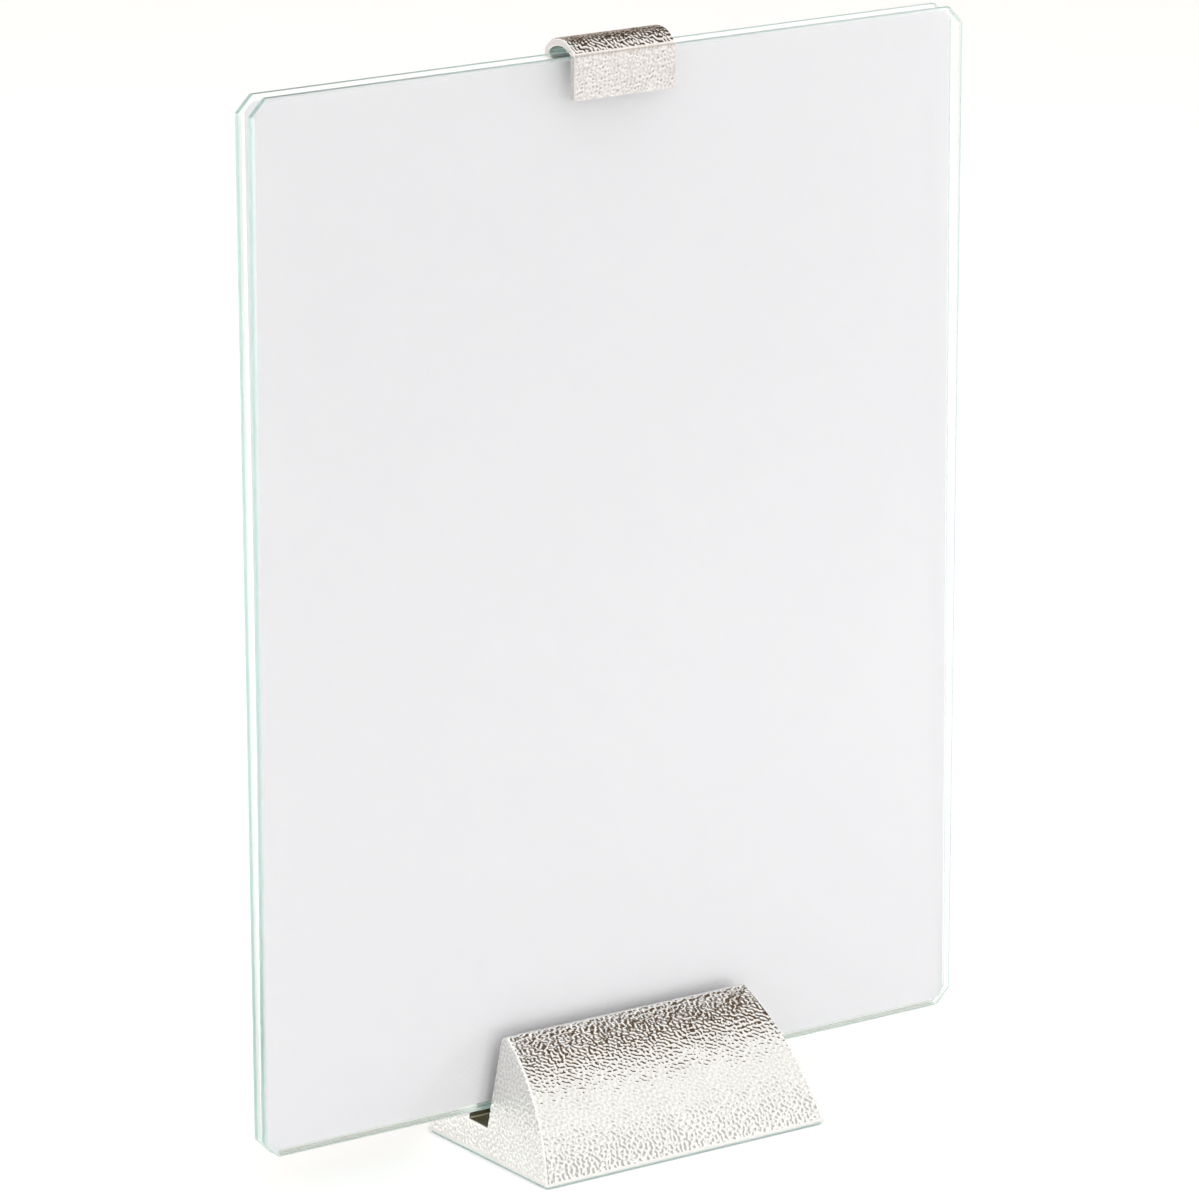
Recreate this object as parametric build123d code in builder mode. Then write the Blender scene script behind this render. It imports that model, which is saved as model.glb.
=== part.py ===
from build123d import *
import os
from math import cos, hypot, radians, sin, sqrt, tan

# Table-top clip frame: two glass panes with a sheet between them stand in the lined slot of a cast base,
# and an arched clip pushed over their top edges holds them together.
# Millimetres. +Z is up, +X is to the right seen from the front, and the front faces -Y.
# The origin is on the table, under the ridge in the middle of the base.

# Glass panes: one 8 by 10 inch size for both
pane_width = 203.2
pane_height = 254.0
pane_thickness = 2.5
pane_corner_clip = 4.0
pane_arris = 0.6

# The rear pane leans back against the clip, in degrees
rear_lean = 0.6

# Sheet between the panes, trimmed a little smaller than they are
sheet_thickness = 0.3
sheet_inset = 1.4
sheet_corner_radius = 3.0

# Cast base: two equal convex faces rise to a ridge, the ends are drafted, and the slot is behind the ridge
base_length = 82.0
base_depth = 51.0
ridge_height = 30.3
face_bulge = 3.5
end_draft = 11.0
foot_band = 0.7
ridge_round = 1.2
end_edge_round = 0.5
slot_floor_height = 7.6
slot_setback = 1.8
slot_edge_chamfer = 0.3

# Pad under the base
pad_thickness = 0.6
pad_inset = 0.4
pad_corner_radius = 1.0

# Soft liner in the slot, shorter than the ridge and lower than the casting
liner_wall = 1.0
liner_floor = 4.0
liner_end_setback = 3.0
liner_top_setback = 2.0

# Clip: an arched channel over the top edges of both panes
clip_width = 29.0
clip_wall = 2.0
clip_grip = 9.9
clip_shoulder = 0.7
clip_hollow = 1.4
clip_edge_round = 0.4

# Fits
pane_clearance = 0.1
sheet_clearance = 0.05
sheet_play = 0.25
clip_clearance = 0.1

# Where the panes stand, from the table up and from the ridge back
pane_bottom = slot_floor_height + liner_floor
pane_gap = sheet_clearance + sheet_thickness + sheet_play
front_pane_y = slot_setback + liner_wall + pane_clearance
rear_pane_y = front_pane_y + pane_thickness + pane_gap
lean = radians(rear_lean)
rear_pane_bottom = pane_bottom + pane_thickness * sin(lean)
rear_pane_back_y = rear_pane_y + pane_height * sin(lean) + pane_thickness * cos(lean)
pane_top = pane_bottom + pane_height

# The slot takes the liner, both panes at their lower edges and the rear pane's lean
lean_room = (ridge_height - pane_bottom) * tan(lean)
slot_width = rear_pane_y + pane_thickness + lean_room + pane_clearance + liner_wall - slot_setback
slot_back_y = slot_setback + slot_width

# The front face is an arc from the top of the foot band to the ridge
half_depth = base_depth / 2
band_top = pad_thickness + foot_band
face_rise = ridge_height - band_top
face_chord = hypot(half_depth, face_rise)
face_radius = face_chord**2 / (8 * face_bulge) + face_bulge / 2
face_middle = (
    half_depth / 2 + face_bulge * face_rise / face_chord,
    band_top + face_rise / 2 + face_bulge * half_depth / face_chord,
)
face_centre = (
    face_middle[0] - face_radius * face_rise / face_chord,
    face_middle[1] - face_radius * half_depth / face_chord,
)
end_run = face_rise * tan(radians(end_draft))
ridge_length = base_length - 2 * end_run


def casting_height(y):
    """Height of the casting's convex face above the table, at a distance y from the ridge."""
    return face_centre[1] + sqrt(face_radius**2 - (y - face_centre[0]) ** 2)


# Cast base
with BuildPart() as base_body:
    with BuildSketch(Plane.YZ):
        with BuildLine():
            Line((-half_depth, pad_thickness), (half_depth, pad_thickness))
            Line((half_depth, pad_thickness), (half_depth, band_top))
            ThreePointArc((half_depth, band_top), face_middle, (0, ridge_height))
            ThreePointArc((0, ridge_height), (-face_middle[0], face_middle[1]), (-half_depth, band_top))
            Line((-half_depth, band_top), (-half_depth, pad_thickness))
        section = make_face()
        fillet(section.vertices().sort_by(Axis.Y)[-1], radius=ridge_round)
    extrude(amount=base_length / 2, both=True)
    with BuildSketch(Plane.XZ):
        with BuildLine():
            Polyline(
                (-base_length / 2, pad_thickness),
                (base_length / 2, pad_thickness),
                (base_length / 2, band_top),
                (ridge_length / 2, ridge_height),
                (-ridge_length / 2, ridge_height),
                (-base_length / 2, band_top),
                close=True,
            )
        make_face()
    extrude(amount=base_depth, both=True, mode=Mode.INTERSECT)
    # The ends of the foot band lie outermost, and the drafted faces come next
    faces_across = base_body.faces().sort_by(Axis.X)
    end_edges = faces_across[1].edges() + faces_across[-2].edges()
    fillet(end_edges.filter_by(GeomType.LINE, reverse=True), radius=end_edge_round)
    with BuildSketch(Plane.YZ):
        with Locations((slot_setback, slot_floor_height)):
            Rectangle(slot_width, ridge_height, align=(Align.MIN, Align.MIN))
    extrude(amount=base_length, both=True, mode=Mode.SUBTRACT)
    slot_edges = base_body.edges(Select.LAST)
    slot_lips = slot_edges.filter_by(Axis.X).sort_by(Axis.Z)[-2:]
    chamfer(slot_lips + slot_edges.filter_by(Axis.Y), length=slot_edge_chamfer)
base_body.part.label = "base_body"

# Pad stuck under the base
with BuildPart() as base_pad:
    with BuildSketch():
        RectangleRounded(base_length - 2 * pad_inset, base_depth - 2 * pad_inset, pad_corner_radius)
    extrude(amount=pad_thickness)
base_pad.part.label = "base_pad"

# Soft liner: a channel with a thick floor, with a higher wall at the front than at the back
liner_length = ridge_length - 2 * liner_end_setback
liner_front_top = casting_height(slot_setback) - liner_top_setback
liner_back_top = casting_height(slot_back_y) - liner_top_setback
with BuildPart() as slot_liner:
    with BuildSketch(Plane.YZ):
        with BuildLine():
            Polyline(
                (slot_setback, slot_floor_height),
                (slot_back_y, slot_floor_height),
                (slot_back_y, liner_back_top),
                (slot_back_y - liner_wall, liner_back_top),
                (slot_back_y - liner_wall, pane_bottom),
                (slot_setback + liner_wall, pane_bottom),
                (slot_setback + liner_wall, liner_front_top),
                (slot_setback, liner_front_top),
                close=True,
            )
        make_face()
    extrude(amount=liner_length / 2, both=True)
slot_liner.part.label = "slot_liner"

# Planes of the panes: x to the right, y up the glass, and the normal out of the front face
front_plane = Plane(origin=(0, front_pane_y, pane_bottom), x_dir=(1, 0, 0), z_dir=(0, -1, 0))
rear_plane = Plane(
    origin=(0, rear_pane_y, rear_pane_bottom), x_dir=(1, 0, 0), z_dir=(0, -cos(lean), sin(lean))
)


def pane(plane):
    """One pane with clipped corners and a ground arris round both faces, its front face on the plane."""
    with BuildPart() as glass:
        with BuildSketch(plane):
            with Locations((0, pane_height / 2)):
                outline = Rectangle(pane_width, pane_height)
            chamfer(outline.vertices(), length=pane_corner_clip)
        extrude(amount=-pane_thickness)
        faces = glass.faces().sort_by(SortBy.AREA)
        chamfer(faces[-1].edges() + faces[-2].edges(), length=pane_arris)
    return glass.part


front_pane = pane(front_plane)
front_pane.label = "front_pane"
rear_pane = pane(rear_plane)
rear_pane.label = "rear_pane"

# Sheet lying on the rear pane's front face
with BuildPart() as insert_sheet:
    with BuildSketch(rear_plane.offset(sheet_clearance)):
        with Locations((0, pane_height / 2)):
            RectangleRounded(
                pane_width - 2 * sheet_inset, pane_height - 2 * sheet_inset, sheet_corner_radius
            )
    extrude(amount=sheet_thickness)
insert_sheet.part.label = "insert_sheet"

# Clip: two straight legs and an arched top, hollow above the panes
clip_front = front_pane_y - clip_clearance
clip_back = rear_pane_back_y + clip_clearance
clip_middle = (clip_front + clip_back) / 2
clip_spring = pane_top + clip_shoulder
clip_bottom = pane_top - clip_grip
with BuildPart() as top_clip:
    with BuildSketch(Plane.YZ):
        with BuildLine():
            Line((clip_front, clip_bottom), (clip_front - clip_wall, clip_bottom))
            Line((clip_front - clip_wall, clip_bottom), (clip_front - clip_wall, clip_spring))
            ThreePointArc(
                (clip_front - clip_wall, clip_spring),
                (clip_middle, clip_spring + clip_hollow + clip_wall),
                (clip_back + clip_wall, clip_spring),
            )
            Line((clip_back + clip_wall, clip_spring), (clip_back + clip_wall, clip_bottom))
            Line((clip_back + clip_wall, clip_bottom), (clip_back, clip_bottom))
            Line((clip_back, clip_bottom), (clip_back, clip_spring))
            ThreePointArc(
                (clip_back, clip_spring),
                (clip_middle, clip_spring + clip_hollow),
                (clip_front, clip_spring),
            )
            Line((clip_front, clip_spring), (clip_front, clip_bottom))
        make_face()
    extrude(amount=clip_width / 2, both=True)
    fillet(top_clip.faces().filter_by(Axis.X).edges(), radius=clip_edge_round)
top_clip.part.label = "top_clip"

os.makedirs("parts", exist_ok=True)
for piece in (
    base_body.part,
    base_pad.part,
    slot_liner.part,
    front_pane,
    rear_pane,
    insert_sheet.part,
    top_clip.part,
):
    export_step(piece, f"parts/{piece.label}.step")
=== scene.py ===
"""Looks of a table-top clip frame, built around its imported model.

Two glass panes with a plain sheet between them stand in the lined slot of a textured cast base, and an
arched clip holds them together at the top. Pieces are made in metres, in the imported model's own frame.
"""

import logging
import math
from dataclasses import dataclass, field
from enum import Enum

import bmesh
import bpy
import numpy as np
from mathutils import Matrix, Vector


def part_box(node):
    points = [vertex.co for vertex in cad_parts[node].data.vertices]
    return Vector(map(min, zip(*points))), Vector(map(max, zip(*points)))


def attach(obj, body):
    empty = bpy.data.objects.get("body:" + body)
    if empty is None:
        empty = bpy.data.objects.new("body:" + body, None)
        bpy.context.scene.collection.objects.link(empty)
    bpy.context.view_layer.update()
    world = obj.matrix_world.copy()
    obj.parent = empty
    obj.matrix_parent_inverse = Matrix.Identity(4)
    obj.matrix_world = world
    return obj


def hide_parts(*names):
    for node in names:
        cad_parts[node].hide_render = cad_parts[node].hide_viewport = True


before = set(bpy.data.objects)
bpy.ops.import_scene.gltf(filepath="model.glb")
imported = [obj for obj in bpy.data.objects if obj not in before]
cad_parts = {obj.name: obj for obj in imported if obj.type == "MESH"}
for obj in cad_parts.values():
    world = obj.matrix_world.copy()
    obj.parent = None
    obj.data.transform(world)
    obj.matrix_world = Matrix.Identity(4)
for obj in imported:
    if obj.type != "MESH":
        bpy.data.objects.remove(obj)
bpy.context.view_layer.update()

MM = 0.001
WELD_MM = 0.001
FLAT_WITHIN_DEG = 0.5

# Part of a normal along an axis from which a face counts as turned that way, and as square to it
TURNED = 0.5
SQUARE_ON = 0.985

LOG = logging.getLogger("clip_frame")

Socket = bpy.types.NodeSocket
Tree = bpy.types.NodeTree
Material = bpy.types.Material
Piece = bpy.types.Object


class Slot(Enum):
    """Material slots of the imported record."""

    GLASS = "glass"
    CAST_METAL = "cast_metal"
    PAPER = "paper"
    LINER = "liner"
    PAD = "pad"


class Body(Enum):
    """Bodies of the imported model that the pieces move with."""

    BASE = "base"
    FRONT_PANE = "front_pane"
    REAR_PANE = "rear_pane"
    INSERT_SHEET = "insert_sheet"
    TOP_CLIP = "top_clip"


def linear(hex_colour: str) -> tuple[float, float, float, float]:
    """Turn an sRGB hex colour into linear light.

    Args:
        hex_colour: A colour such as "#EDE6DC".

    Returns:
        Red, green, blue and a full alpha.
    """
    encoded = [int(hex_colour[i : i + 2], 16) / 255 for i in (1, 3, 5)]
    decoded = [c / 12.92 if c <= 0.04045 else ((c + 0.055) / 1.055) ** 2.4 for c in encoded]
    return (*decoded, 1.0)


def smooth_step(values: np.ndarray, low: float, high: float) -> np.ndarray:
    """Rise smoothly from 0 at low to 1 at high.

    Args:
        values: Numbers to map.
        low: Where the rise starts.
        high: Where the rise ends.

    Returns:
        The mapped numbers, from 0 to 1.
    """
    share = np.clip((values - low) / (high - low), 0, 1)
    return share * share * (3 - 2 * share)


def add_node(tree: Tree, kind: str, inputs: dict | None = None, **settings: object) -> bpy.types.Node:
    """Add one shader node, with its settings, its values and its links.

    Args:
        tree: Node tree that takes the node.
        kind: Blender's name for the kind of node.
        inputs: Socket name or number to a value, or to an output socket that is linked to it.
        settings: Properties of the node.

    Returns:
        The new node.
    """
    node = tree.nodes.new(kind)
    for name, value in settings.items():
        setattr(node, name, value)
    for socket, value in (inputs or {}).items():
        if isinstance(value, Socket):
            tree.links.new(value, node.inputs[socket])
        else:
            node.inputs[socket].default_value = value
    return node


def new_material(name: str) -> tuple[Material, Tree, Socket]:
    """Start an empty node material.

    Args:
        name: Name of the material.

    Returns:
        The material, its node tree and the texture coordinates in metres that patterns are laid in.
    """
    material = bpy.data.materials.new(name)
    material.use_nodes = True
    tree = material.node_tree
    tree.nodes.clear()
    return material, tree, add_node(tree, "ShaderNodeTexCoord").outputs["Object"]


def noise(tree: Tree, place: Socket, size_mm: float, detail: float = 2.0) -> Socket:
    """Add a cloudy pattern.

    Args:
        tree: Node tree that takes the pattern.
        place: Texture coordinates in metres.
        size_mm: Width of its features.
        detail: Number of finer layers on them.

    Returns:
        The pattern, from 0 to 1.
    """
    inputs = {"Vector": place, "Scale": 1 / (size_mm * MM), "Detail": detail}
    return add_node(tree, "ShaderNodeTexNoise", inputs).outputs["Fac"]


def ramp(
    tree: Tree,
    value: Socket,
    ends: tuple[float | Socket, float] = (0.0, 1.0),
    span: tuple[float, float] = (0.0, 1.0),
    **settings: object,
) -> Socket:
    """Map a value from one span to another, and hold it at the ends.

    Args:
        tree: Node tree that takes the map.
        value: Value that is mapped.
        ends: Results at the start and at the end of the span.
        span: Values between which the result changes.
        settings: Properties of the node.

    Returns:
        The mapped value.
    """
    inputs = {0: value, 1: span[0], 2: span[1], 3: ends[0], 4: ends[1]}
    return add_node(tree, "ShaderNodeMapRange", inputs, **settings).outputs[0]


def combine(tree: Tree, operation: str, *values: Socket, **settings: object) -> Socket:
    """Work out one number from others.

    Args:
        tree: Node tree that takes the sum.
        operation: Blender's name for the kind of sum.
        values: Numbers that go into it.
        settings: Further properties of the node.

    Returns:
        The result.
    """
    inputs = dict(enumerate(values))
    return add_node(tree, "ShaderNodeMath", inputs, operation=operation, **settings).outputs[0]


def blend(tree: Tree, share: Socket, first: str | Socket, second: str) -> Socket:
    """Mix two colours.

    Args:
        tree: Node tree that takes the mix.
        share: Share of the second colour.
        first: A hex colour, or a colour from another node.
        second: A hex colour.

    Returns:
        The mixed colour.
    """
    start = linear(first) if isinstance(first, str) else first
    inputs = {"Factor": share, 6: start, 7: linear(second)}
    return add_node(tree, "ShaderNodeMix", inputs, data_type="RGBA").outputs[2]


def bump(tree: Tree, height: Socket, height_mm: float) -> Socket:
    """Turn a pattern into unevenness that is finer than the mesh.

    Args:
        tree: Node tree that takes the bump.
        height: The pattern, from 0 to 1.
        height_mm: Height of its tops.

    Returns:
        The uneven normal.
    """
    inputs = {"Height": height, "Distance": height_mm * MM}
    return add_node(tree, "ShaderNodeBump", inputs).outputs[0]


def close_material(tree: Tree, skin: dict, inside: Socket | None = None) -> None:
    """Finish a material with its skin, and with what is inside it where light goes through.

    Args:
        tree: The material's node tree.
        skin: Socket name of the surface to a value or to an output socket.
        inside: What the material is filled with.
    """
    ends = {"Surface": add_node(tree, "ShaderNodeBsdfPrincipled", skin).outputs[0]}
    if inside is not None:
        ends["Volume"] = inside
    add_node(tree, "ShaderNodeOutputMaterial", ends)


@dataclass(frozen=True)
class CastNickel:
    """Zinc casting with a bright nickel plate.

    The relief comes from the mold. Its tops are burnished, so they are bright and sharp, and the plate in
    the hollows is a little duller; the darker, greyer colour in the hollows is painted shade. Low in the
    slot and in the clip's groove, a dull, dark brown colour is painted shade of these recesses.
    """

    name: str = "plated_casting"
    top_colour: str = "#F1F0ED"
    # Darker, greyer colour in the hollows: painted shade.
    hollow_shade_colour: str = "#DAD9D5"
    top_roughness: float = 0.05
    hollow_roughness: float = 0.1
    cloud_mm: float = 9.0
    cloud_detail: float = 3.0
    cloud_span: tuple[float, float] = (0.3, 0.7)
    wear: float = 0.12
    grain_mm: float = 0.3
    grain_height_mm: float = 0.004
    # Colour and roughness of the painted shade low in the slot and in the clip's groove.
    recess_shade_colour: str = "#A89C88"
    recess_shade_roughness: float = 0.45
    relief_name: str = "relief"
    recess_shade_name: str = "recess_shade"

    def material(self) -> Material:
        """Build the plated metal."""
        material, tree, place = new_material(self.name)
        relief = add_node(tree, "ShaderNodeAttribute", attribute_name=self.relief_name).outputs["Fac"]
        # Mask of painted shade in the slot's recess and in the clip's groove.
        recess_shade = add_node(tree, "ShaderNodeAttribute", attribute_name=self.recess_shade_name).outputs["Fac"]
        clouds = noise(tree, place, self.cloud_mm, self.cloud_detail)
        wear = ramp(tree, clouds, (-self.wear, self.wear), self.cloud_span)
        # Painted shade: the relief's height darkens the colour into the hollows, and the clouds add random
        # wear.
        wear_and_hollow_shade = combine(tree, "ADD", relief, wear, use_clamp=True)
        plate_colour = blend(tree, wear_and_hollow_shade, self.hollow_shade_colour, self.top_colour)
        plate_roughness = ramp(tree, wear_and_hollow_shade, (self.hollow_roughness, self.top_roughness))
        grain = noise(tree, place, self.grain_mm)
        skin = {
            "Base Color": blend(tree, recess_shade, plate_colour, self.recess_shade_colour),
            "Metallic": 1.0,
            "Roughness": ramp(tree, recess_shade, (plate_roughness, self.recess_shade_roughness)),
            "Normal": bump(tree, grain, self.grain_height_mm),
        }
        close_material(tree, skin)
        return material


@dataclass(frozen=True)
class FloatGlass:
    """Clear float glass with a trace of iron and with ground edges.

    The faces are as smooth as the molten bath left them. Light that leaves at an edge has come a long way
    through the glass, so the edges are pale sage lines, and the marks of the wheel keep them satin.
    """

    tint: str = "#9CDFD3"
    tint_per_metre: float = 3.0
    refraction: float = 1.52
    face_colour: str = "#FFFFFF"
    # The edge colour paints part of the sage that light picks up on its long way through the pane.
    edge_colour: str = "#E4EEEC"
    edge_roughness: tuple[float, float] = (0.4, 0.55)
    mark_mm: float = 0.5
    mark_detail: float = 3.0
    face_from: float = 0.97
    edge_to: float = 0.44
    arris_share: float = 0.5

    def material(self) -> Material:
        """Build the glass."""
        material, tree, place = new_material("float_glass")
        facing = add_node(tree, "ShaderNodeTexCoord").outputs["Normal"]
        across = add_node(tree, "ShaderNodeSeparateXYZ", {0: facing}).outputs["Y"]
        flat = combine(tree, "ABSOLUTE", across)
        on_edge = ramp(tree, flat, span=(self.face_from, self.edge_to))
        ground = ramp(tree, on_edge, span=(0.0, self.arris_share))
        marks = noise(tree, place, self.mark_mm, self.mark_detail)
        satin = ramp(tree, marks, self.edge_roughness)
        skin = {
            # Painted light: the ground edges are tinted sage.
            "Base Color": blend(tree, on_edge, self.face_colour, self.edge_colour),
            "Roughness": combine(tree, "MULTIPLY", satin, ground),
            "IOR": self.refraction,
            "Transmission Weight": 1.0,
        }
        tinted = {"Color": linear(self.tint), "Density": self.tint_per_metre}
        close_material(tree, skin, add_node(tree, "ShaderNodeVolumeAbsorption", tinted).outputs[0])
        return material


@dataclass(frozen=True)
class CoatedPaper:
    """Smooth coated card, calendered to a soft, almost even white.

    The coat gives a faint satin, and the fibres under it show as very weak clouds and a fine tooth.
    """

    light_colour: str = "#DADADD"
    dark_colour: str = "#D7D7DB"
    cloud_mm: float = 5.0
    cloud_detail: float = 4.0
    tooth_mm: float = 0.35
    tooth_detail: float = 3.0
    tooth_height_mm: float = 0.001
    roughness: tuple[float, float] = (0.5, 0.62)

    def material(self) -> Material:
        """Build the card."""
        material, tree, place = new_material("coated_card")
        clouds = noise(tree, place, self.cloud_mm, self.cloud_detail)
        tooth = noise(tree, place, self.tooth_mm, self.tooth_detail)
        skin = {
            "Base Color": blend(tree, clouds, self.light_colour, self.dark_colour),
            "Roughness": ramp(tree, tooth, self.roughness),
            "Normal": bump(tree, tooth, self.tooth_height_mm),
        }
        close_material(tree, skin)
        return material


@dataclass(frozen=True)
class LinerRubber:
    """Extruded dark rubber with a dry, slightly dusty skin."""

    colour: str = "#33312A"
    dust_colour: str = "#4A483E"
    dust_mm: float = 1.6
    dust_detail: float = 4.0
    grain_mm: float = 0.3
    grain_height_mm: float = 0.02
    roughness: tuple[float, float] = (0.6, 0.8)

    def material(self) -> Material:
        """Build the rubber."""
        material, tree, place = new_material("liner_rubber")
        dust = noise(tree, place, self.dust_mm, self.dust_detail)
        grain = noise(tree, place, self.grain_mm)
        skin = {
            "Base Color": blend(tree, dust, self.colour, self.dust_colour),
            "Roughness": ramp(tree, grain, self.roughness),
            "Normal": bump(tree, grain, self.grain_height_mm),
        }
        close_material(tree, skin)
        return material


@dataclass(frozen=True)
class ClearPad:
    """Die-cut soft plastic pad, cloudy and faintly aqua, so its cut edge is a pale line."""

    colour: str = "#E2F6F4"
    deep_colour: str = "#CDEDEA"
    cloud_mm: float = 4.0
    cloud_detail: float = 3.0
    grain_mm: float = 0.3
    grain_height_mm: float = 0.01
    clearness: float = 0.35
    refraction: float = 1.45
    roughness: tuple[float, float] = (0.3, 0.45)

    def material(self) -> Material:
        """Build the soft plastic."""
        material, tree, place = new_material("soft_clear_plastic")
        clouds = noise(tree, place, self.cloud_mm, self.cloud_detail)
        grain = noise(tree, place, self.grain_mm)
        skin = {
            "Base Color": blend(tree, clouds, self.colour, self.deep_colour),
            "Roughness": ramp(tree, grain, self.roughness),
            "IOR": self.refraction,
            "Transmission Weight": self.clearness,
            "Normal": bump(tree, grain, self.grain_height_mm),
        }
        close_material(tree, skin)
        return material


@dataclass(frozen=True)
class StudioFloor:
    """Matte white painted board."""

    colour: str = "#F7F7F6"
    shade_colour: str = "#F3F3F3"
    cloud_mm: float = 60.0
    roughness: float = 0.9

    def material(self) -> Material:
        """Build the floor's paint."""
        material, tree, place = new_material("studio_board")
        clouds = noise(tree, place, self.cloud_mm)
        colour = blend(tree, clouds, self.colour, self.shade_colour)
        close_material(tree, {"Base Color": colour, "Roughness": self.roughness})
        return material


@dataclass(frozen=True)
class CastRelief:
    """Worm-like relief of the casting's skin.

    Plane waves of nearly one length, in every direction along the skin, add up to low ridges that wander
    and meet.
    """

    wavelength_mm: float = 1.0
    spread: float = 0.4
    height_mm: float = 0.052
    plateau: float = 1.35
    waves: int = 60
    seed: int = 11

    def tops(self, across: np.ndarray, along: np.ndarray) -> np.ndarray:
        """Sample the relief.

        Args:
            across: Places along the skin in metres, in one direction.
            along: The same in the other direction.

        Returns:
            From -1 in the hollows to 1 on the tops.
        """
        draw = np.random.default_rng(self.seed)
        shares = draw.uniform(1 - self.spread, 1 + self.spread, self.waves)
        turns = math.tau / (self.wavelength_mm * MM) * shares
        headings = draw.uniform(0, math.tau, self.waves)
        phases = draw.uniform(0, math.tau, self.waves)
        total = np.zeros(len(across))
        for turn, heading, phase in zip(turns, headings, phases):
            total += np.cos(turn * (across * math.cos(heading) + along * math.sin(heading)) + phase)
        return np.tanh(self.plateau * total * math.sqrt(2 / self.waves))


def link(piece: Piece) -> Piece:
    """Put a new piece into the scene."""
    bpy.context.scene.collection.objects.link(piece)
    return piece


def settle(piece: Piece) -> None:
    """Apply a piece's modifiers to its mesh."""
    bpy.context.view_layer.update()
    graph = bpy.context.evaluated_depsgraph_get()
    made = bpy.data.meshes.new_from_object(piece.evaluated_get(graph))
    piece.modifiers.clear()
    piece.data = made


def solid_copy(node: str, name: str) -> Piece:
    """Copy a node's solid as a clean mesh, with its corners joined and its flat faces whole.

    Args:
        node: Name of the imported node.
        name: Name of the new piece.

    Returns:
        The new piece, in the scene.
    """
    mesh = bpy.data.meshes.new(name)
    work = bmesh.new()
    work.from_mesh(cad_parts[node].data)
    bmesh.ops.remove_doubles(work, verts=work.verts, dist=WELD_MM * MM)
    flat = math.radians(FLAT_WITHIN_DEG)
    bmesh.ops.dissolve_limit(work, angle_limit=flat, verts=work.verts, edges=work.edges)
    work.to_mesh(mesh)
    work.free()
    return link(bpy.data.objects.new(name, mesh))


def round_edges(piece: Piece, round_mm: float, segments: int) -> None:
    """Round a piece's edges.

    Args:
        piece: Piece with a clean mesh.
        round_mm: Width of the rounding.
        segments: Number of faces across it.
    """
    rounding = piece.modifiers.new("edges", "BEVEL")
    rounding.width = round_mm * MM
    rounding.segments = segments
    rounding.limit_method = "ANGLE"
    settle(piece)


def dense_skin(node: str, name: str, grid_mm: float) -> Piece:
    """Copy a node's solid as an even, dense mesh that lies on the solid.

    Args:
        node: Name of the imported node.
        name: Name of the new piece.
        grid_mm: Width of the mesh's faces.

    Returns:
        The new piece, in the scene, shaded smooth.
    """
    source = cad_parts[node]
    piece = link(bpy.data.objects.new(name, source.data.copy()))
    grid = piece.modifiers.new("grid", "REMESH")
    grid.mode = "VOXEL"
    grid.voxel_size = grid_mm * MM
    grid.use_smooth_shade = True
    lie = piece.modifiers.new("lie", "SHRINKWRAP")
    lie.target = source
    lie.wrap_method = "NEAREST_SURFACEPOINT"
    settle(piece)
    return piece


def points_and_normals(mesh: bpy.types.Mesh) -> tuple[np.ndarray, np.ndarray]:
    """Read a mesh's points and its normals at them."""
    points = np.empty(len(mesh.vertices) * 3, np.float32)
    mesh.vertices.foreach_get("co", points)
    normals = np.empty(len(mesh.vertices) * 3, np.float32)
    mesh.vertex_normals.foreach_get("vector", normals)
    return points.reshape(-1, 3).astype(float), normals.reshape(-1, 3).astype(float)


def keep_values(piece: Piece, values: np.ndarray, attribute: str) -> None:
    """Keep a number at each point of a piece's mesh, for its finish.

    Args:
        piece: Piece with a mesh.
        values: Number at each point.
        attribute: Name under which the mesh keeps them.
    """
    kept = piece.data.attributes.new(attribute, "FLOAT", "POINT")
    kept.data.foreach_set("value", values.astype(np.float32))


def raise_relief(piece: Piece, tops: np.ndarray, height_mm: float, attribute: str) -> None:
    """Press a relief into a piece's skin and keep its height for the finish.

    Args:
        piece: Piece with a dense mesh.
        tops: Relief at each point, from -1 in the hollows to 1 on the tops.
        height_mm: Height of the tops above the smooth skin.
        attribute: Name under which the mesh keeps the height, from 0 to 1.
    """
    mesh = piece.data
    points, normals = points_and_normals(mesh)
    moved = points + normals * (tops * height_mm * MM)[:, None]
    mesh.vertices.foreach_set("co", moved.astype(np.float32).ravel())
    keep_values(piece, 0.5 + 0.5 * tops, attribute)
    mesh.update()


def thin_out(piece: Piece, flat: np.ndarray, keep: float) -> None:
    """Join the small faces of a dense mesh's flat parts into larger ones, and shade these flat.

    Args:
        piece: Piece with a dense mesh.
        flat: Whether each point lies in a flat part.
        keep: Share of all faces that stays.
    """
    group = piece.vertex_groups.new(name="flat")
    group.add(np.flatnonzero(flat).tolist(), 1.0, "REPLACE")
    thin = piece.modifiers.new("thin", "DECIMATE")
    thin.vertex_group = group.name
    thin.ratio = keep
    settle(piece)
    in_flat = np.array([len(vertex.groups) > 0 for vertex in piece.data.vertices])
    for face in piece.data.polygons:
        square_on = max(abs(part) for part in face.normal) > SQUARE_ON
        face.use_smooth = not (square_on and in_flat[list(face.vertices)].any())
    piece.vertex_groups.clear()


def dress(piece: Piece, material: Material, slot: Slot, body: Body, *nodes: str) -> None:
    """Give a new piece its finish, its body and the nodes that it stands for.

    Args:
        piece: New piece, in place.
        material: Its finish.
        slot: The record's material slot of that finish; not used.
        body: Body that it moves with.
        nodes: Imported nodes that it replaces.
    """
    piece.data.materials.clear()
    piece.data.materials.append(material)
    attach(piece, body.value)
    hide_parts(*nodes)
    LOG.info("%s: %d faces on %s", piece.name, len(piece.data.polygons), body.value)


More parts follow.
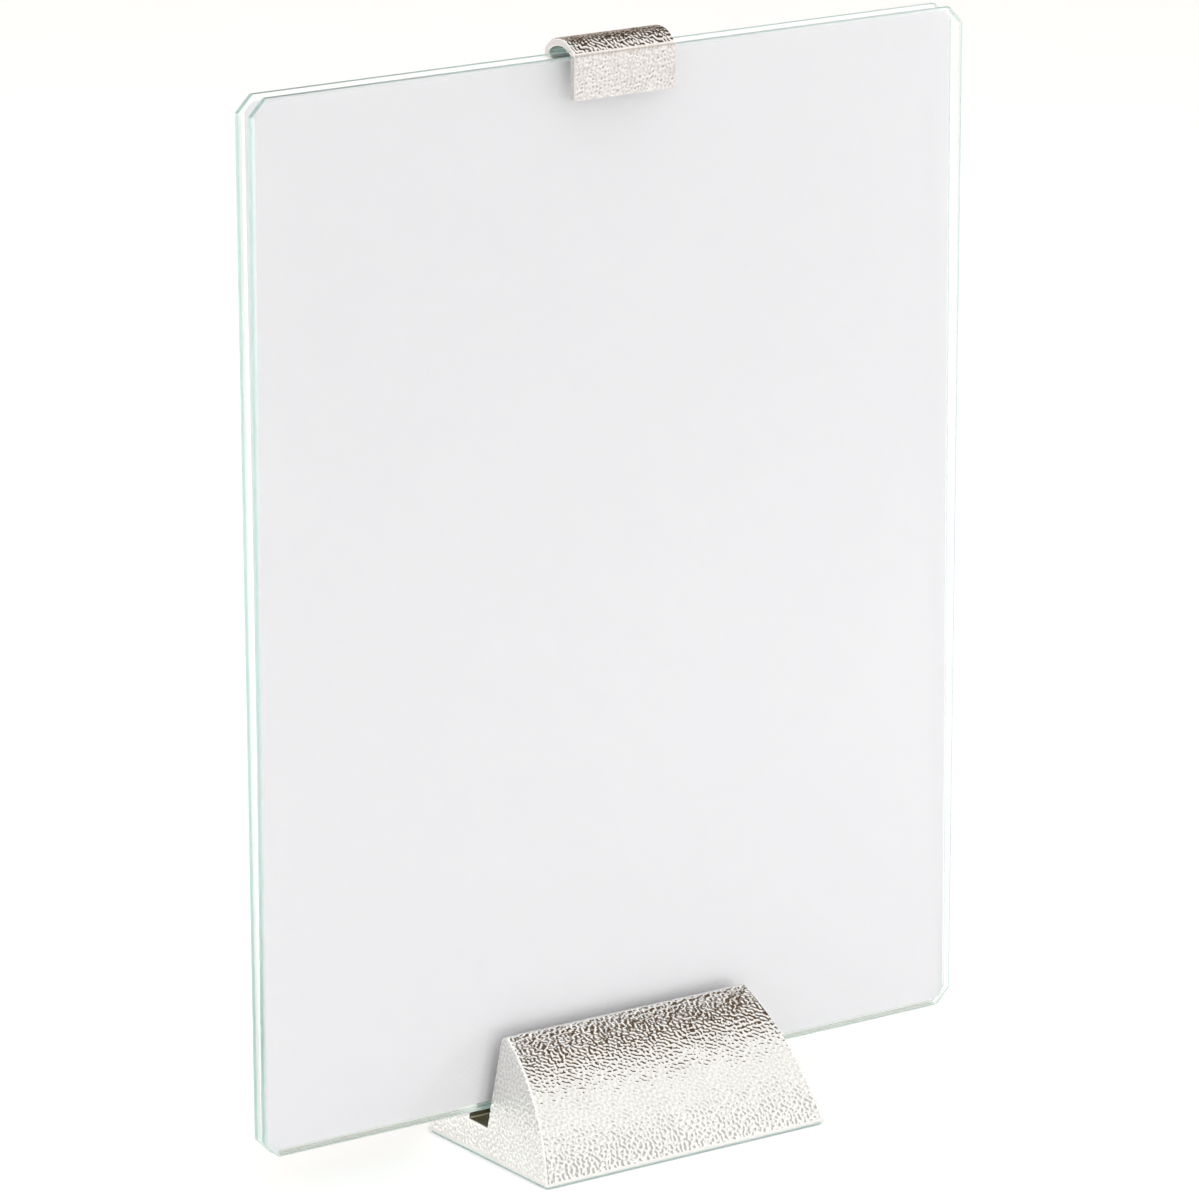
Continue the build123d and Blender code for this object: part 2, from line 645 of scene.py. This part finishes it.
@dataclass
class CastBase:
    """The heavy base: a casting with a lined slot and a pad under it."""

    grid_mm: float = 0.31
    relief: CastRelief = field(default_factory=CastRelief)
    metal: CastNickel = field(default_factory=CastNickel)
    rubber: LinerRubber = field(default_factory=LinerRubber)
    plastic: ClearPad = field(default_factory=ClearPad)
    band_mm: float = 0.7
    band_fade_mm: float = 0.6
    face_slope_deg: float = 47.0
    edge_start: tuple[float, float] = (0.1, 0.3)
    edge_stop: tuple[float, float] = (0.8, 0.96)
    end_from: float = 0.6
    end_relief: float = 1.6
    kept_faces: float = 0.5
    recess_shade_above_mm: float = 1.0
    pad_round_mm: float = 0.15
    liner_round_mm: float = 0.25
    round_segments: int = 3

    def build(self) -> None:
        """Make the casting, the liner and the pad."""
        self.casting()
        self.softened("slot_liner", "liner_channel", self.liner_round_mm, self.rubber.material(), Slot.LINER)
        self.softened("base_pad", "foot_pad", self.pad_round_mm, self.plastic.material(), Slot.PAD)

    def casting(self) -> None:
        """Make the casting, with relief on its outer faces and a smooth foot band, edges and slot."""
        piece = dense_skin("base_body", "casting", self.grid_mm)
        points, normals = points_and_normals(piece.data)
        low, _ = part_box("base_body")
        slot_low, slot_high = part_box("slot_liner")
        margin = self.grid_mm * MM
        in_slot = (points[:, 1] > slot_low.y - margin) & (points[:, 1] < slot_high.y + margin)
        band_top = low.z + self.band_mm * MM
        above_band = smooth_step(points[:, 2], band_top, band_top + self.band_fade_mm * MM)
        side = np.abs(normals[:, 0])
        off_edge = 1 - smooth_step(side, *self.edge_start) * (1 - smooth_step(side, *self.edge_stop))
        slot_face = in_slot & (side < TURNED)
        flat = slot_face | (normals[:, 2] < -TURNED)
        pane_low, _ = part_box("front_pane")
        # Painted shade: the slot's faces up to just above the panes' bottom take the dark recess colour.
        recess_shade = slot_face & (points[:, 2] < pane_low.z + self.recess_shade_above_mm * MM)
        slope = math.radians(self.face_slope_deg)
        up_face = points[:, 2] * math.sin(slope) - np.abs(points[:, 1]) * math.cos(slope)
        on_end = side > self.end_from
        across = np.where(on_end, points[:, 1], points[:, 0])
        along = np.where(on_end, points[:, 2], up_face * np.sign(points[:, 1]))
        tops = self.relief.tops(across, along) * above_band * off_edge * ~flat
        tops *= np.where(on_end, self.end_relief, 1.0)
        keep_values(piece, recess_shade, self.metal.recess_shade_name)
        raise_relief(piece, tops, self.relief.height_mm, self.metal.relief_name)
        thin_out(piece, flat, self.kept_faces)
        dress(piece, self.metal.material(), Slot.CAST_METAL, Body.BASE, "base_body")

    def softened(self, node: str, name: str, round_mm: float, finish: Material, slot: Slot) -> None:
        """Make a soft piece of the base from its solid, with rounded edges.

        Args:
            node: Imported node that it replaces.
            name: Name of the new piece.
            round_mm: Radius of its edges.
            finish: Its material.
            slot: The record's material slot of that finish.
        """
        piece = solid_copy(node, name)
        round_edges(piece, round_mm, self.round_segments)
        piece.data.shade_smooth()
        dress(piece, finish, slot, Body.BASE, node)


@dataclass
class TopClip:
    """The arched clip over the panes' top edges."""

    grid_mm: float = 0.2
    relief: CastRelief = field(default_factory=lambda: CastRelief(height_mm=0.09, seed=23))
    # The clip's plate colours are a darker copy of the base's plate: painted shade.
    metal: CastNickel = field(
        default_factory=lambda: CastNickel("plated_clip", top_colour="#E7E4E1", hollow_shade_colour="#CECAC7")
    )
    end_fade: tuple[float, float] = (0.1, 0.5)
    crease_mm: float = 0.7
    bead_mm: float = 0.5
    bead_width_mm: float = 0.4
    groove_width_mm: float = 0.2
    groove_depth: float = 1.8
    # Share of painted shade that darkens the groove under the bead.
    groove_shade: float = 0.5

    def build(self) -> None:
        """Make the clip, with relief on its outer faces, and a bead over a groove where the arch starts."""
        piece = dense_skin("top_clip", "arched_clip", self.grid_mm)
        points, normals = points_and_normals(piece.data)
        low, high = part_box("top_clip")
        middle = (low + high) / 2
        _, pane_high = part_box("front_pane")
        out = (points[:, 1] - middle.y) * normals[:, 1] + (points[:, 2] - middle.z) * normals[:, 2]
        side = np.abs(normals[:, 0])
        share = (out > 0) * (normals[:, 2] > -TURNED) * (1 - smooth_step(side, *self.end_fade))
        down_leg = np.maximum(pane_high.z - points[:, 2], 0)
        over = points[:, 1] - low.y + down_leg * np.sign(points[:, 1] - middle.y)
        above = (points[:, 2] - pane_high.z) / MM - self.crease_mm
        bead = np.exp(-(((above - self.bead_mm) / self.bead_width_mm) ** 2))
        groove = np.exp(-((above / self.groove_width_mm) ** 2))
        tops = self.relief.tops(points[:, 0], over) * (1 - bead) * (1 - groove)
        tops += bead - self.groove_depth * groove
        # Painted shade: a dark line along the groove under the bead.
        keep_values(piece, self.groove_shade * groove * share, self.metal.recess_shade_name)
        raise_relief(piece, tops * share, self.relief.height_mm, self.metal.relief_name)
        dress(piece, self.metal.material(), Slot.CAST_METAL, Body.TOP_CLIP, "top_clip")


@dataclass
class PaneStack:
    """Both panes of glass and the sheet between them."""

    glass: FloatGlass = field(default_factory=FloatGlass)
    paper: CoatedPaper = field(default_factory=CoatedPaper)
    arris_round_mm: float = 0.1
    arris_segments: int = 2
    sheet_grid_mm: float = 8.0
    sheet_bow_mm: float = 0.12
    sheet_wave_mm: float = 130.0

    def build(self) -> None:
        """Make the panes and the sheet."""
        glass = self.glass.material()
        for body, name in ((Body.FRONT_PANE, "front_glass"), (Body.REAR_PANE, "rear_glass")):
            self.pane(body, name, glass)
        self.sheet()

    def pane(self, body: Body, name: str, glass: Material) -> None:
        """Make one pane, with its arris rounded a little.

        Args:
            body: The pane's body, whose one node has the same name.
            name: Name of the new piece.
            glass: Its finish.
        """
        piece = solid_copy(body.value, name)
        round_edges(piece, self.arris_round_mm, self.arris_segments)
        dress(piece, glass, Slot.GLASS, body, body.value)

    def sheet(self) -> None:
        """Make the sheet, which lies on the rear pane and bows forward a little where nothing presses it."""
        piece = solid_copy("insert_sheet", "plain_sheet")
        low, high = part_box("insert_sheet")
        work = bmesh.new()
        work.from_mesh(piece.data)
        step = self.sheet_grid_mm * MM
        for axis in (Vector((1, 0, 0)), Vector((0, 0, 1))):
            first, last = low.dot(axis), high.dot(axis)
            for cut in np.arange(first + step / 2, last, step):
                whole = work.verts[:] + work.edges[:] + work.faces[:]
                bmesh.ops.bisect_plane(work, geom=whole, plane_co=axis * cut, plane_no=axis)
        turn = math.tau / (self.sheet_wave_mm * MM)
        for vert in work.verts:
            wave = math.sin(vert.co.x * turn) * math.sin(vert.co.z * turn)
            vert.co.y -= self.sheet_bow_mm * MM * (0.5 + 0.5 * wave)
        work.to_mesh(piece.data)
        work.free()
        dress(piece, self.paper.material(), Slot.PAPER, Body.INSERT_SHEET, "insert_sheet")


@dataclass(frozen=True)
class SoftBox:
    """One studio light: a flat, even panel aimed at the object, which the metal doesn't mirror."""

    name: str
    place: tuple[float, float, float]
    size: tuple[float, float]
    brightness: float

    def build(self, aim: Vector) -> None:
        """Hang the light.

        Args:
            aim: Point that it faces.
        """
        lamp = bpy.data.lights.new(self.name, "AREA")
        lamp.shape = "RECTANGLE"
        lamp.size, lamp.size_y = self.size
        lamp.energy = self.brightness * math.pi * self.size[0] * self.size[1]
        holder = link(bpy.data.objects.new(self.name, lamp))
        holder.location = self.place
        holder.rotation_mode = "QUATERNION"
        holder.rotation_quaternion = (aim - Vector(self.place)).to_track_quat("-Z", "Y")
        holder.visible_camera = False
        holder.visible_glossy = False


@dataclass(frozen=True)
class RoomPatch:
    """Round part of the room that is lighter or darker than its walls, with a soft rim."""

    toward: tuple[float, float, float]
    colour: str
    outer_deg: float
    inner_deg: float


@dataclass
class Studio:
    """Pale floor, soft light and the photograph's camera."""

    floor: StudioFloor = field(default_factory=StudioFloor)
    floor_half_m: float = 8.0
    floor_cells: int = 8
    floor_drop_mm: float = 0.05
    aim: tuple[float, float, float] = (0.0, 0.0, 0.13)
    lights: tuple[SoftBox, ...] = (
        SoftBox("side_box", (0.6, -0.12, 0.18), (0.3, 0.6), 3.0),
        SoftBox("top_box", (0.0, 0.1, 1.3), (1.3, 1.3), 1.2),
    )
    wall_colour: str = "#FFFEFD"
    patches: tuple[RoomPatch, ...] = (
        RoomPatch((0.2, -0.8, 0.32), "#BEBCB9", 20.0, 16.5),
        RoomPatch((0.55, -0.54, 0.83), "#F1F0EE", 29.0, 11.0),
        RoomPatch((0.45, 0.85, 0.35), "#B0A499", 44.0, 28.0),
        RoomPatch((0.58, 0.3, 0.76), "#463C30", 27.0, 18.0),
        RoomPatch((0.62, -0.02, 0.72), "#5A4936", 13.2, 10.8),
    )
    room_light: float = 1.3
    light_bounces: int = 96
    camera_place: tuple[float, float, float] = (-0.9406, -1.3369, 0.5844)
    camera_pitch_deg: float = -15.43
    camera_turn_deg: float = -34.90
    lens_mm: float = 213.5
    sensor_mm: float = 36.0
    camera_reach_m: float = 100.0

    def build(self) -> None:
        """Lay the floor, hang the lights, set the camera and let light run along inside the panes."""
        self.lay_floor()
        self.surround()
        for light in self.lights:
            light.build(Vector(self.aim))
        self.camera()
        scene = bpy.context.scene
        scene.view_settings.view_transform = "Standard"
        scene.cycles.blur_glossy = 0.0
        for kind in ("max", "glossy", "transmission"):
            setattr(scene.cycles, f"{kind}_bounces", self.light_bounces)

    def lay_floor(self) -> None:
        """Lay a wide floor just under the pad."""
        mesh = bpy.data.meshes.new("floor")
        work = bmesh.new()
        cells = self.floor_cells
        bmesh.ops.create_grid(work, x_segments=cells, y_segments=cells, size=self.floor_half_m)
        work.to_mesh(mesh)
        work.free()
        floor = link(bpy.data.objects.new("floor", mesh))
        floor.location.z = -self.floor_drop_mm * MM
        mesh.materials.append(self.floor.material())

    def surround(self) -> None:
        """Light the room: pale walls with the patches that the metal mirrors."""
        world = bpy.data.worlds.new("studio")
        bpy.context.scene.world = world
        world.use_nodes = True
        tree = world.node_tree
        tree.nodes.clear()
        direction = add_node(tree, "ShaderNodeTexCoord").outputs["Generated"]
        colour = add_node(tree, "ShaderNodeRGB").outputs[0]
        colour.default_value = linear(self.wall_colour)
        for patch in self.patches:
            near = add_node(
                tree,
                "ShaderNodeVectorMath",
                {0: direction, 1: Vector(patch.toward).normalized()},
                operation="DOT_PRODUCT",
            ).outputs["Value"]
            rim = (math.cos(math.radians(patch.outer_deg)), math.cos(math.radians(patch.inner_deg)))
            share = ramp(tree, near, span=rim, interpolation_type="SMOOTHSTEP")
            colour = blend(tree, share, colour, patch.colour)
        light = add_node(
            tree, "ShaderNodeBackground", {"Color": colour, "Strength": self.room_light}
        ).outputs[0]
        add_node(tree, "ShaderNodeOutputWorld", {"Surface": light})

    def camera(self) -> None:
        """Set the camera at the photograph's viewing angle."""
        data = bpy.data.cameras.new("camera")
        data.sensor_fit = "HORIZONTAL"
        data.sensor_width = self.sensor_mm
        data.lens = self.lens_mm
        data.clip_end = self.camera_reach_m
        camera = link(bpy.data.objects.new("camera", data))
        camera.location = self.camera_place
        camera.rotation_euler = (
            math.radians(90 + self.camera_pitch_deg),
            0.0,
            math.radians(self.camera_turn_deg),
        )
        bpy.context.scene.camera = camera


def main() -> None:
    logging.basicConfig(level=logging.INFO, format="%(message)s")
    CastBase().build()
    PaneStack().build()
    TopClip().build()
    Studio().build()


if __name__ == "__main__":
    main()
